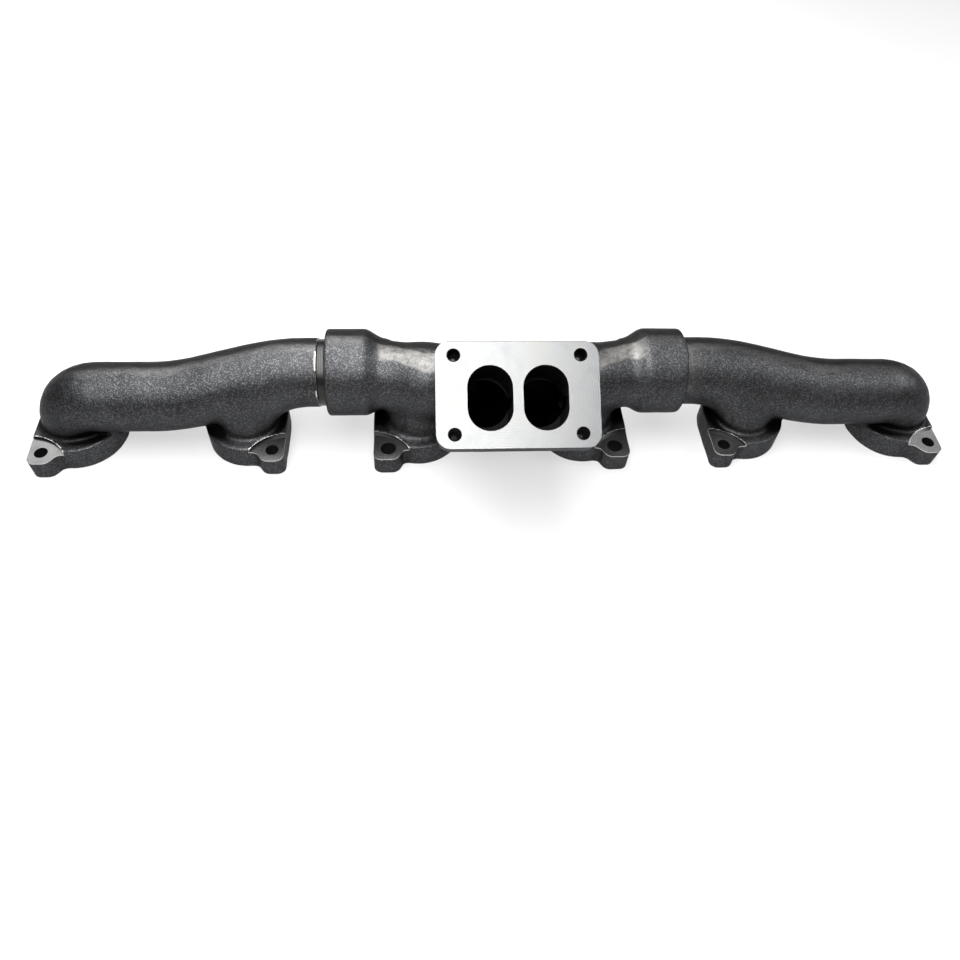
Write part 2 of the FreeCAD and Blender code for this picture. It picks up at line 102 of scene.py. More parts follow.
FACE_OUT = np.array((0.0, -math.cos(FACE_SLOPE), math.sin(FACE_SLOPE)))
FACE_UP = np.array((0.0, math.sin(FACE_SLOPE), math.cos(FACE_SLOPE)))
X = np.array((1.0, 0.0, 0.0))
SIDES = {"left": -1, "right": 1}

# Room for the grids around the castings and the middle of an end casting, mm.
END_ROOM = {"y": (-60, 62), "z": (-8, 108)}
CENTER_ROOM = {"y": (-138, 68), "z": (-8, 182)}
END_MIDDLE = 330.0

# Only for the looks, mm: fillets where cast bodies join, rounding of cast edges, chamfers of
# machined ones, and the unevenness of the sand skin as (size, height) pairs.
FILLET = {"ears": 11.0, "end_runner": 12.0, "end_flange": 5.0, "socket": 5.0, "runner": 10.0,
          "flange": 7.0, "duct": 12.0, "halves": 12.0, "stem": 16.0, "plate": 7.0,
          "gas": 8.0, "duct_gas": 6.0}
ROUNDING = {"flank": 6.0, "ears": 2.0, "flange_top": 2.2, "socket_inside": 3.0, "mouth": 3.5,
            "plate": 2.5, "gas": 1.5}
CHAMFER = {"port": 0.8, "socket": 1.4, "tap": 0.7, "root": 0.6, "tip": 1.2}
RIM = {"before": 0.8, "after": 0.2, "high": 0.3, "low": 0.7}   # bright rim of a shoulder
SAND = ((26.0, 0.22), (8.0, 0.12))
SAND_SEED = {"center": 11, "left": 22, "right": 24}

# What a face is finished as, in the order of FINISHES.
CAST, MILLED, GROUND, TURNED, SOOT_AND_SHADE = range(5)


# ------------------------------------------------------------ distance fields

class Grid:
    """Points of a regular grid over a box, in millimetres."""

    def __init__(self, low, high):
        self.low = np.array(low, float)
        self.shape = np.ceil((np.array(high) - self.low) / VOXEL).astype(int) + 1
        axes = [(low + VOXEL * np.arange(count)).astype(np.float32)
                for low, count in zip(self.low, self.shape)]
        self.x, self.y, self.z = np.meshgrid(*axes, indexing="ij", sparse=True)


def join(a, b, k):
    """Union of two fields with a fillet of about k."""
    h = np.clip(0.5 + 0.5 * (b - a) / k, 0, 1)
    return b + (a - b) * h - k * h * (1 - h)


def meet(a, b, k):
    """Intersection of two fields with a rounded edge of about k."""
    return -join(-a, -b, k)


def tube(g, points, radii):
    """Round tube along a chain of points, its radius given at each point."""
    field = None
    for a, b, ra, rb in zip(points[:-1], points[1:], radii[:-1], radii[1:]):
        run = b - a
        px, py, pz = g.x - a[0], g.y - a[1], g.z - a[2]
        t = np.clip((px * run[0] + py * run[1] + pz * run[2]) / (run @ run), 0, 1)
        gap = np.sqrt((px - t * run[0]) ** 2 + (py - t * run[1]) ** 2 + (pz - t * run[2]) ** 2)
        gap -= ra + (rb - ra) * t
        field = gap if field is None else np.minimum(field, gap)
    return field


def slab_box(u, v, w, half, radius):
    """Box with rounded edges in local coordinates u, v, w."""
    qu, qv, qw = [np.abs(c) - (h - radius) for c, h in zip((u, v, w), half)]
    outside = np.sqrt(np.maximum(qu, 0) ** 2 + np.maximum(qv, 0) ** 2 + np.maximum(qw, 0) ** 2)
    return outside + np.minimum(np.maximum(np.maximum(qu, qv), qw), 0) - radius


def rounded(a, b, radius):
    """Where two fields, already moved in by the radius, meet in an edge of that radius."""
    outside = np.sqrt(np.maximum(a, 0) ** 2 + np.maximum(b, 0) ** 2)
    return outside + np.minimum(np.maximum(a, b), 0) - radius


def flat_round(u, v, half_u, half_v, corner):
    """Rectangle with round corners, seen from above."""
    return rounded(np.abs(u) - (half_u - corner), np.abs(v) - (half_v - corner), corner)


def raised(outline, z, height, edge):
    """A flat outline raised from the head plane, its top edge rounded."""
    return rounded(outline + edge, np.abs(z - height / 2 + 2) - (height / 2 + 2) + edge, edge)


def lumps(g, size, seed):
    """Smooth random unevenness between -1 and 1 with features of the given size."""
    random = np.random.default_rng(seed)
    steps = [c / size for c in (g.x, g.y, g.z)]
    cells = [np.floor(s).astype(int) for s in steps]
    lows = [c.min() for c in cells]
    spans = [c.max() - low + 2 for c, low in zip(cells, lows)]
    lattice = random.uniform(-1, 1, spans).astype(np.float32)
    parts = []
    for s, c in zip(steps, cells):
        f = s - c
        parts.append((f * f * (3 - 2 * f)).astype(np.float32))
    total = 0
    for i in (0, 1):
        for j in (0, 1):
            for k in (0, 1):
                weight = 1
                for corner, part in zip((i, j, k), parts):
                    weight = weight * (part if corner else 1 - part)
                total = total + weight * lattice[cells[0] - lows[0] + i, cells[1] - lows[1] + j,
                                                 cells[2] - lows[2] + k]
    return total


def arc(center, start, heading, degrees, steps):
    """Points along a bend about a center, from `start` turning towards `heading`."""
    angles = np.radians(np.linspace(0, degrees, steps))
    return [center + start * math.cos(a) + heading * math.sin(a) for a in angles]


def bezier(a, b, c, d, steps):
    """Points along a cubic curve."""
    return [(1 - t) ** 3 * a + 3 * (1 - t) ** 2 * t * b + 3 * (1 - t) * t * t * c + t ** 3 * d
            for t in np.linspace(0, 1, steps)]


# ------------------------------------------------------------ port flanges

def port_outline(g, port_x, toward, shift, kind):
    """Outline of a port flange: disc, two ears on a diagonal, soft hollows between."""
    x, y = g.x - port_x, g.y
    flank = kind["offset"] + kind["margin"]
    disc = np.sqrt((x - shift) ** 2 + y ** 2) - DISC_R
    outline = meet(disc, toward * x - flank, ROUNDING["flank"])
    half_w = kind["width"] / 2
    length = EAR_REACH + kind["back"]
    for way in (1, -1):
        mid_x = way * toward * (flank - half_w)
        mid_y = -way * (EAR_REACH - length / 2)
        ear = flat_round(x - mid_x, y - mid_y, half_w, length / 2, EAR_CORNER)
        outline = join(outline, ear, FILLET["ears"])
    return meet(outline, toward * x - flank, ROUNDING["ears"])


def port_flange(g, port_x, toward, shift, kind):
    """A port flange as it is cast, before its pads are milled."""
    outline = port_outline(g, port_x, toward, shift, kind)
    return raised(outline, g.z, DISC_H, ROUNDING["flange_top"])


def stud_places(port_x, toward, kind):
    """Centres of a port's two stud holes, on a diagonal."""
    offset = toward * kind["offset"]
    return [(port_x + offset, -STUD_ROW), (port_x - offset, STUD_ROW)]


# ------------------------------------------------------------ end castings

def log_path(side, start):
    """Centre line of an end casting's log and its outer elbow."""
    sign, near, far = SIDES[side], BEND_NEAR[side], BEND_FAR[side]
    port = 2.5 * PITCH + CAST_SHIFT[side]
    points = []
    for distance in (start, *np.linspace(near, far, 17), port - ELBOW_R):
        t = min(max((distance - near) / (far - near), 0), 1)
        blend = 0.5 - 0.5 * math.cos(math.pi * t)
        points.append(np.array((sign * distance, JOINT_Y + (OUTER_Y - JOINT_Y) * blend,
                                JOINT_Z + (OUTER_Z - JOINT_Z) * blend)))
    up, out = np.array((0, 0, ELBOW_R)), np.array((sign * ELBOW_R, 0, 0))
    center = np.array((sign * (port - ELBOW_R), OUTER_Y, OUTER_Z - ELBOW_R))
    points += arc(center, up, out, 90, 10)[1:]
    points.append(np.array((sign * port, 0.5 * OUTER_Y, 0.0)))
    return points


def runner_path(side):
    """Centre line of the inner port's runner, bending up into the log."""
    sign = SIDES[side]
    aside = math.asin(JOINT_Y / RUNNER_BEND)
    heading = np.array((-sign * math.cos(aside), math.sin(aside), 0.0))
    foot = np.array((sign * (1.5 * PITCH + CAST_SHIFT[side]), 0.0, 0.0))
    center = foot + np.array((0, 0, JOINT_Z - RUNNER_DROP - RUNNER_BEND)) + heading * RUNNER_BEND
    return [foot] + arc(center, -heading * RUNNER_BEND, np.array((0, 0, RUNNER_BEND)), 90, 10)


def end_fields(side):
    """Cast skin and gas way of an end casting."""
    sign = SIDES[side]
    shoulder = MOUTH[side] + SHOULDER_GAP[side]
    far = 2.5 * PITCH + 44
    span = sorted((sign * (shoulder - SPIGOT_LENGTH - 6), sign * far))
    g = Grid(*zip(span, END_ROOM["y"], END_ROOM["z"]))
    path = log_path(side, shoulder - 20)
    narrowing = np.linspace(0, LIMB_TAPER, 11)
    radii = [LOG_R] * (len(path) - len(narrowing)) + [LOG_R - less for less in narrowing]
    field = tube(g, path, radii)
    runner = runner_path(side)
    widths = np.linspace(RUNNER_R - 0.5, RUNNER_R - 5.0, len(runner))
    field = join(field, tube(g, runner, widths), FILLET["end_runner"])
    for number, ear in END_PORTS:
        flange = port_flange(g, sign * number * PITCH, sign * ear, sign * CAST_SHIFT[side], END)
        field = join(field, flange, FILLET["end_flange"])
    gas = tube(g, log_path(side, shoulder - SPIGOT_LENGTH - 20), [LOG_BORE] * len(path))
    gas = join(gas, tube(g, runner, [RUNNER_BORE] * len(runner)), FILLET["gas"])
    return g, field, gas


# ------------------------------------------------------------ centre casting

def center_axis(side, distance):
    """Point of the centre casting's log axis, which swings forward to the middle."""
    start = MOUTH[side] - SOCKET_LENGTH
    t = min(max((start - distance) / start, 0), 1)
    return np.array((SIDES[side] * distance, JOINT_Y + (MIDDLE_Y - JOINT_Y) * t,
                     JOINT_Z + (MIDDLE_Z - JOINT_Z) * t))


def duct_path(side):
    """Centre line of a duct from the log up to the turbocharger flange."""
    sign = SIDES[side]
    start = center_axis(side, 74)
    back = FACE - FACE_OUT * 10 - FACE_UP * OPENING_DROP + X * sign * OPENING_SPACING / 2
    return bezier(start, center_axis(side, 30), back - FACE_OUT * 62, back, 12)


def center_fields():
    """Cast skin and gas way of the centre casting."""
    span = (-MOUTH["left"] - 5, MOUTH["right"] + 5)
    g = Grid(*zip(span, CENTER_ROOM["y"], CENTER_ROOM["z"]))
    u = g.x
    w = (g.y - FACE[1]) * FACE_OUT[1] + (g.z - FACE[2]) * FACE_OUT[2]
    v = (g.y - FACE[1]) * FACE_UP[1] + (g.z - FACE[2]) * FACE_UP[2]
    outline = flat_round(u, v, PLATE_W / 2, PLATE_H / 2, PLATE_CORNER)
    field, gas = None, None
    for side, sign in SIDES.items():
        mouth = MOUTH[side]
        log = [center_axis(side, d) for d in (mouth - SOCKET_LENGTH, 0)]
        part = tube(g, log, [LOG_R] * 2)
        inward = mouth - sign * g.x
        taper = np.clip((inward - SOCKET_LENGTH) / SOCKET_TAPER, 0, 1)
        radius = SOCKET_R - (SOCKET_R - LOG_R + 2) * (taper * taper * (3 - 2 * taper))
        socket = np.sqrt((g.y - JOINT_Y) ** 2 + (g.z - JOINT_Z) ** 2) - radius
        socket = meet(socket, inward - SOCKET_LENGTH - SOCKET_TAPER, ROUNDING["socket_inside"])
        socket = meet(socket, -inward, ROUNDING["mouth"])
        part = join(part, socket, FILLET["socket"])
        port_x = sign * PITCH / 2
        runner = [np.array((port_x, 0, 0)), np.array((port_x, 2, 22)), np.array((port_x, 9, 66))]
        widths = (RUNNER_R + 1, RUNNER_R, RUNNER_R - 1)
        part = join(part, tube(g, runner, widths), FILLET["runner"])
        part = join(part, port_flange(g, port_x, sign, 0, CENTER), FILLET["flange"])
        duct = duct_path(side)
        part = join(part, tube(g, duct, np.linspace(LOG_R, DUCT_R, len(duct))), FILLET["duct"])
        log = [center_axis(side, d) for d in (mouth - SOCKET_LENGTH, DIVIDER_REACH)]
        ways = tube(g, log, [LOG_BORE] * 2)
        ways = join(ways, tube(g, runner, [RUNNER_BORE] * 3), FILLET["gas"])
        narrowing = np.linspace(LOG_BORE, DUCT_BORE, len(duct))
        ways = join(ways, tube(g, duct, narrowing), FILLET["duct_gas"])
        field = part if field is None else join(field, part, FILLET["halves"])
        gas = ways if gas is None else np.minimum(gas, ways)
    stem = slab_box(u, v + STEM_DROP, w + STEM_BACK, STEM_HALF, STEM_CORNER)
    field = join(field, stem, FILLET["stem"])
    inset = ROUNDING["plate"]
    depth = np.abs(w + PLATE_T / 2 - 2) - PLATE_T / 2 - 2
    gap = np.maximum(0, depth + inset)
    plate = np.sqrt(np.maximum(outline + inset, 0) ** 2 + gap ** 2)
    plate = plate + np.minimum(outline + inset, 0) - inset
    field = join(field, np.maximum(plate, depth), FILLET["plate"])
    return g, field, gas


# ------------------------------------------------------------ meshing and machining

def cast_mesh(name, g, field, gas, seed):
    """Mesh of a casting: its skin, uneven as sand leaves it, less its gas way."""
    for step, (size, height) in enumerate(SAND):
        field = field + height * lumps(g, size, seed + step)
    solid = meet(field, -gas, ROUNDING["gas"])
    for axis, c in enumerate((g.x, g.y, g.z)):
        solid = np.maximum(solid, c - (CAD_HIGH[axis] - BOX_MARGIN))
        if axis < 2:                    # the head plane is planed afterwards
            solid = np.maximum(solid, CAD_LOW[axis] + BOX_MARGIN - c)
    band = 3 * VOXEL
    grid = openvdb.FloatGrid(band)
    grid.copyFromArray(np.clip(solid, -band, band).astype(np.float32))
    points, quads = grid.convertToQuads()
    points = (points * VOXEL + g.low) * MM
    mesh = bpy.data.meshes.new(name)
    mesh.from_pydata(points.tolist(), [], quads.tolist())
    mesh.validate()
    return place_in_scene(name, mesh)


def place_in_scene(name, data):
    """New object with the given data, linked to the scene."""
    obj = bpy.data.objects.new(name, data)
    bpy.context.scene.collection.objects.link(obj)
    return obj


def cutter(name, points, faces, finish_index):
    """Closed tool mesh; its faces say which finish the cut leaves."""
    mesh = bpy.data.meshes.new(name)
    mesh.from_pydata([tuple(np.asarray(p) * MM) for p in points], [], faces)
    for finish in FINISHES:
        mesh.materials.append(finish)
    for polygon in mesh.polygons:
        polygon.material_index = finish_index
    mesh.validate()
    return mesh


def turned(profile, base, axis, finish=MILLED, segments=144, wall_finish=None):
    """Tool turned about an axis: profile is (distance along the axis, radius) pairs.

    Its flat ends and its round walls can leave different finishes.
    """
    axis = np.asarray(axis, float) / np.linalg.norm(axis)
    side = np.cross(axis, (0, 0, 1) if abs(axis[2]) < 0.9 else (1, 0, 0))
    side /= np.linalg.norm(side)
    other = np.cross(axis, side)
    points, rows = [], []
    for distance, radius in profile:
        center = np.asarray(base) + axis * distance
        if radius == 0:
            rows.append([len(points)])
            points.append(center)
            continue
        rows.append(list(range(len(points), len(points) + segments)))
        for step in range(segments):
            angle = 2 * math.pi * step / segments
            points.append(center + radius * (side * math.cos(angle) + other * math.sin(angle)))
    faces = []
    for row, following in zip(rows, rows[1:] + rows[:1]):
        for step in range(segments):
            after = (step + 1) % segments
            if len(row) == 1 and len(following) == 1:
                continue
            if len(row) == 1:
                faces.append((row[0], following[step], following[after]))
            elif len(following) == 1:
                faces.append((row[step], following[0], row[after]))
            else:
                faces.append((row[step], following[step], following[after], row[after]))
    mesh = cutter("turned", points, faces, finish)
    if wall_finish is not None:
        for polygon in mesh.polygons:
            if len(polygon.vertices) == 4:
                polygon.material_index = wall_finish
    return mesh


def drill(base, axis, radius, length, chamfer, finish=MILLED):
    """Drilled hole; `base` is at its mouth and the axis points into the metal."""
    above, point = 6, 0.35 * radius
    profile = [(-above, 0), (-above, radius + chamfer), (0, radius + chamfer), (chamfer, radius),
               (length, radius), (length + point, 0)]
    return turned(profile, base, axis, finish)


def slice_off(center, normal, finish=MILLED):
    """Tool that planes off everything beyond a plane.

    Its face is a grid of cells smaller than any hole, so no facet has a hole in it.
    """
    half, depth, cell = 260.0, 40.0, 8.0
    normal = np.asarray(normal, float)
    u = np.cross(normal, (1, 0, 0)) if abs(normal[0]) < 0.9 else np.cross(normal, (0, 1, 0))
    u /= np.linalg.norm(u)
    v = np.cross(normal, u)
    count = int(2 * half / cell)
    steps = np.linspace(-half, half, count + 1)
    points = [np.asarray(center) + a * u + b * v for a in steps for b in steps]
    wide = count + 1
    faces = [(i * wide + j, (i + 1) * wide + j, (i + 1) * wide + j + 1, i * wide + j + 1)
             for i in range(count) for j in range(count)]
    rim = [i * wide for i in range(count)] + [count * wide + j for j in range(count)]
    rim += [i * wide + count for i in range(count, 0, -1)] + [j for j in range(count, 0, -1)]
    first = len(points)
    points += [points[i] + normal * depth for i in rim]
    top = list(range(first, first + len(rim)))
    faces.append(tuple(top))
    following = rim[1:] + rim[:1], top[1:] + top[:1]
    faces += list(zip(rim, *following, top))
    return cutter("plane", points, faces, finish)


def slot_tool(center, along, depth, width, height, finish):
    """Obround tool sunk into the turbocharger flange."""
    radius, reach, above, steps = width / 2, (height - width) / 2, 6, 48
    rim = []
    for end, start in ((1, 0), (-1, math.pi)):
        for step in range(steps + 1):
            angle = start + math.pi * step / steps
            level = end * reach + radius * math.sin(angle)
            rim.append(X * radius * math.cos(angle) + FACE_UP * level)
    top = [center + p + along * above for p in rim]
    bottom = [center + p - along * depth for p in rim]
    count = len(rim)
    faces = [tuple(range(count)), tuple(reversed(range(count, 2 * count)))]
    faces += [(i, i + count, (i + 1) % count + count, (i + 1) % count) for i in range(count)]
    return cutter("slot", top + bottom, faces, finish)


def machine(casting, tools):
    """Cut the tools out of a casting, one after another."""
    for tool in tools:
        cutting = place_in_scene("tool", tool)
        make_outward(tool)
        step = casting.modifiers.new("cut", "BOOLEAN")
        step.operation = "DIFFERENCE"
        step.solver = "MANIFOLD"
        step.object = cutting
        before = len(casting.data.polygons)
        evaluated = casting.evaluated_get(bpy.context.evaluated_depsgraph_get())
        shape = bpy.data.meshes.new_from_object(evaluated)
        casting.modifiers.clear()
        if len(shape.polygons) < LEAST_LEFT * before:
            raise RuntimeError("a cut emptied " + casting.name)
        shape.name = casting.name
        casting.data = shape
        bpy.data.objects.remove(cutting)


def make_outward(mesh):
    """Turn a closed mesh's faces outward."""
    work = bmesh.new()
    work.from_mesh(mesh)
    bmesh.ops.recalc_face_normals(work, faces=work.faces)
    work.to_mesh(mesh)
    work.free()


def port_tools(port_x, toward, kind):
    """Bore, bolt holes and milled pads of one port."""
    up, extra, hole = (0, 0, 1), 8, kind["hole"]
    tools = [drill((port_x, 0, 0), up, PORT_BORE, PORT_BORE_DEPTH, CHAMFER["port"])]
    for x, y in stud_places(port_x, toward, kind):
        outward = np.array((x - port_x, y, 0)) / math.hypot(x - port_x, y)
        pad = np.array((x, y, EAR_H)) + outward * MILL_OFFSET
        mill = [(0, 0), (0, MILL_R), (extra, MILL_R), (extra, 0)]
        tools.append(turned(mill, pad, up, segments=240, wall_finish=TURNED))
        through = [(-extra, 0), (-extra, hole), (EAR_H + extra, hole), (EAR_H + extra, 0)]
        # Stud holes get the near-black finish of soot and painted shade.
        tools.append(turned(through, (x, y, 0), up, SOOT_AND_SHADE))
    return tools


def end_tools(side):
    """Everything machined on an end casting."""
    sign = SIDES[side]
    tools = [slice_off((sign * END_MIDDLE, 0, 0), (0, 0, -1))]
    shoulder = np.array((sign * (MOUTH[side] + SHOULDER_GAP[side]), JOINT_Y, JOINT_Z))
    clear_r, clear_end = SOCKET_R + 8, SPIGOT_LENGTH + 30
    groove_r, tip = SPIGOT_R - GROOVE_DEPTH, CHAMFER["tip"]
    before, after = RIM["before"], RIM["after"]
    rim = [(-before, clear_r), (-before, LOG_R + RIM["high"]),
           (after, LOG_R - RIM["low"]), (after, clear_r)]
    tools.append(turned(rim, shoulder, -X * sign))
    profile = [(0.0, clear_r), (0, SPIGOT_R + CHAMFER["root"]), (CHAMFER["root"], SPIGOT_R)]
    for ring in reversed(range(3)):
        middle = SPIGOT_LENGTH - RING_FIRST - ring * RING_STEP
        low, high = middle - RING_WIDTH / 2, middle + RING_WIDTH / 2
        profile += [(low, SPIGOT_R), (low, groove_r), (high, groove_r), (high, SPIGOT_R)]
    profile += [(SPIGOT_LENGTH - tip, SPIGOT_R), (SPIGOT_LENGTH, SPIGOT_R - tip),
                (SPIGOT_LENGTH, 0), (clear_end, 0), (clear_end, clear_r)]
    tools.append(turned(profile, shoulder, -X * sign, TURNED))
    for number, ear in END_PORTS:
        tools += port_tools(sign * number * PITCH, sign * ear, END)
    return tools


def center_tools():
    """Everything machined on the centre casting."""
    tools = [slice_off((0, 0, 0), (0, 0, -1))]
    joint = np.array((0, JOINT_Y, JOINT_Z))
    for side, sign in SIDES.items():
        mouth = joint + X * sign * MOUTH[side]
        bore = [(-12, 0), (-12, SOCKET_R + 12), (0, SOCKET_R + 12),
                (0, SOCKET_BORE + CHAMFER["socket"]), (CHAMFER["socket"], SOCKET_BORE),
                (SOCKET_DEPTH, SOCKET_BORE), (SOCKET_DEPTH, 0)]
        tools.append(turned(bore, mouth, -X * sign))
        tools += port_tools(sign * PITCH / 2, sign, CENTER)
    tools.append(slice_off(FACE, FACE_OUT, GROUND))
    for sign in (-1, 1):
        center = FACE + X * sign * OPENING_SPACING / 2 - FACE_UP * OPENING_DROP
        tools.append(slot_tool(center, FACE_OUT, OPENING_DEPTH, OPENING_W, OPENING_H, SOOT_AND_SHADE))
        for level in (-1, 1):
            spot = FACE + X * sign * TAP_WIDE / 2 + FACE_UP * level * TAP_TALL / 2
            tools.append(drill(spot, -FACE_OUT, TAP_R, TAP_DEPTH, CHAMFER["tap"], SOOT_AND_SHADE))
    return tools


# ------------------------------------------------------------ materials

class Nodes:
    """Short way to write a node material."""

    def __init__(self, name):
        self.material = bpy.data.materials.new(name)
        self.material.use_nodes = True
        self.tree = self.material.node_tree
        self.shader = self.tree.nodes["Principled BSDF"]
        self.place = self.add("ShaderNodeTexCoord").outputs["Object"]

    def add(self, kind, **settings):
        node = self.tree.nodes.new(kind)
        for key, value in settings.items():
            setattr(node, key, value)
        return node

    def link(self, source, target):
        self.tree.links.new(source, target)

    def feed(self, socket, value):
        if isinstance(value, bpy.types.NodeSocket):
            self.link(value, socket)
        else:
            socket.default_value = value

    def noise(self, scale, detail=2.0, rough=0.5):
        node = self.add("ShaderNodeTexNoise")
        self.link(self.place, node.inputs["Vector"])
        node.inputs["Scale"].default_value = scale
        node.inputs["Detail"].default_value = detail
        node.inputs["Roughness"].default_value = rough
        return node.outputs["Fac"]

    def facets(self, scale):
        """Three random values per small cell."""
        node = self.add("ShaderNodeTexVoronoi")
        self.link(self.place, node.inputs["Vector"])
        node.inputs["Scale"].default_value = scale
        split = self.add("ShaderNodeSeparateColor")
        self.link(node.outputs["Color"], split.inputs[0])
        return split.outputs

    def wave(self, vector, scale, distortion, detail=2.0, detail_scale=1.0, **settings):
        node = self.add("ShaderNodeTexWave", **settings)
        self.link(vector, node.inputs["Vector"])
        node.inputs["Scale"].default_value = scale
        node.inputs["Distortion"].default_value = distortion
        node.inputs["Detail"].default_value = detail
        node.inputs["Detail Scale"].default_value = detail_scale
        return node.outputs["Fac"]

    def ramp(self, value, stops):
        node = self.add("ShaderNodeValToRGB")
        self.link(value, node.inputs["Fac"])
        elements = node.color_ramp.elements
        while len(elements) < len(stops):
            elements.new(0.5)
        for element, (position, color) in zip(elements, stops):
            element.position = position
            element.color = (*color, 1) if isinstance(color, tuple) else (color, color, color, 1)
        return node.outputs["Color"]

    def tones(self, value, dark, light):
        """Runs from a dark to a light tone over the middle of a noise."""
        return self.ramp(value, ((0.3, dark), (0.7, light)))

    def math(self, operation, a, b=0.0, clamp=False):
        node = self.add("ShaderNodeMath", operation=operation, use_clamp=clamp)
        self.feed(node.inputs[0], a)
        self.feed(node.inputs[1], b)
        return node.outputs[0]

    def mix(self, factor, a, b):
        node = self.add("ShaderNodeMix", data_type="RGBA")
        sockets = node.inputs[0], node.inputs[6], node.inputs[7]    # factor, colours A and B
        for socket, value in zip(sockets, (factor, a, b)):
            self.feed(socket, (*value, 1) if isinstance(value, tuple) else value)
        return node.outputs[2]

    def span(self, value, low, high):
        """Maps 0 to 1 onto low to high."""
        return self.math("ADD", self.math("MULTIPLY", value, high - low), low)

    def attribute(self, name):
        return self.add("ShaderNodeAttribute", attribute_name=name).outputs["Fac"]

    def bump(self, height, strength, distance, normal=None):
        node = self.add("ShaderNodeBump")
        node.inputs["Strength"].default_value = strength
        node.inputs["Distance"].default_value = distance
        self.link(height, node.inputs["Height"])
        if normal:
            self.link(normal, node.inputs["Normal"])
        return node.outputs["Normal"]

    def finish(self, color, roughness, normal, metallic):
        self.feed(self.shader.inputs["Base Color"], color)
        self.feed(self.shader.inputs["Roughness"], roughness)
        self.feed(self.shader.inputs["Metallic"], metallic)
        self.link(normal, self.shader.inputs["Normal"])
        return self.material


def cast_iron():
    """Blasted sand-cast iron: dark and grainy, its bumps glinting where they face the light, with
    glints also painted into its colour in small random cells.
    """
    dark, light, painted_glint = (0.030, 0.0305, 0.032), (0.045, 0.046, 0.048), (0.21, 0.212, 0.217)
    smooth_shaded, shadow = (0.034, 0.0332, 0.0315), (0.006, 0.006, 0.006)
    ground, bare_edge_highlight = (0.165, 0.162, 0.153), (0.80, 0.79, 0.76)
    n = Nodes("cast_iron_skin")
    grain = n.noise(1000.0, 3.0, 0.65)
    pits = n.noise(430.0, 2.0, 0.6)
    facet = n.facets(1250.0)
    color = n.tones(n.noise(26.0, 4.0, 0.6), dark, light)
    # Painted glints: light grey specks mixed into the base colour in small random cells all over
    # the skin.
    color = n.mix(n.ramp(facet[0], ((0.62, 0.0), (0.97, 0.42))), color, painted_glint)
    uneven = n.ramp(n.noise(55.0, 3.0, 0.6), ((0.3, 0.75), (0.6, 1.0)))
    # Painted shade: the upper back of the logs, behind the parting line, takes a darker, smoother
    # colour without the painted glints.
    color = n.mix(n.math("MULTIPLY", n.attribute("crown_shade"), uneven), color, smooth_shaded)
    color = n.mix(n.ramp(n.attribute("hollow"), ((0.30, 0.0), (0.78, 1.0))), color, shadow)
    broken = n.ramp(n.noise(170.0, 4.0, 0.7), ((0.35, 0.30), (0.62, 1.0)))
    color = n.mix(n.math("MULTIPLY", n.attribute("rub"), broken), color, ground)
    # Painted highlight: near-white colour on the skin where a cut meets it, brighter than the
    # machined metal.
    color = n.mix(n.attribute("edge"), color, bare_edge_highlight)
    mixed = n.math("ADD", n.math("MULTIPLY", grain, 0.5), n.math("MULTIPLY", facet[1], 0.5))
    rough = n.span(mixed, 0.30, 0.50)
    height = n.math("ADD", grain, n.math("MULTIPLY", facet[2], 0.5))
    normal = n.bump(height, 0.60, 0.00040)
    normal = n.bump(pits, 0.40, 0.0006, normal)
    n.shader.inputs["Specular Tint"].default_value = (0.45, 0.45, 0.46, 1)
    return n.finish(color, rough, normal, 0.93)


def milled_iron():
    """Milled pads, mating faces and bores: grey metal with fine tool marks."""
    n = Nodes("milled_iron")
    marks = n.wave(n.place, 230.0, 2.0, wave_type="RINGS", rings_direction="Z")
    stain = n.noise(60.0, 5.0, 0.65)
    color = n.tones(stain, (0.18, 0.18, 0.18), (0.25, 0.25, 0.246))
    rough = n.span(n.noise(500.0, 3.0, 0.6), 0.15, 0.27)
    normal = n.bump(marks, 0.12, 0.0001)
    normal = n.bump(n.noise(1400.0, 2.0), 0.15, 0.0001, normal)
    return n.finish(color, rough, normal, 0.95)


def soot_and_shade():
    """Walls of the turbocharger openings, stud holes and tapped holes: sooty and almost black, a
    black that is partly painted shade deep in the holes.
    """
    n = Nodes("soot_and_shade")
    crust = n.noise(380.0, 4.0, 0.6)
    # Near-black colour: soot, darkened further as painted shade of the deep holes.
    color = n.tones(crust, (0.002, 0.002, 0.002), (0.006, 0.0058, 0.0055))
    n.shader.inputs["Specular IOR Level"].default_value = 0.1
    return n.finish(color, n.span(crust, 0.6, 0.85), n.bump(crust, 0.5, 0.0005), 0.0)


def turned_iron():
    """Turned spigot and its shoulder: oxidised, with faint turning lines round the axis."""
    bright = (0.14, 0.138, 0.133)
    n = Nodes("turned_iron")
    bands = n.wave(n.place, 190.0, 0.6, wave_type="BANDS", bands_direction="X")
    tone = n.noise(90.0, 4.0, 0.6)
    color = n.tones(tone, (0.020, 0.0205, 0.021), (0.036, 0.0355, 0.034))
    color = n.mix(n.ramp(bands, ((0.85, 0.0), (1.0, 0.30))), color, bright)
    return n.finish(color, n.span(tone, 0.26, 0.42), n.bump(bands, 0.15, 0.0001), 0.95)


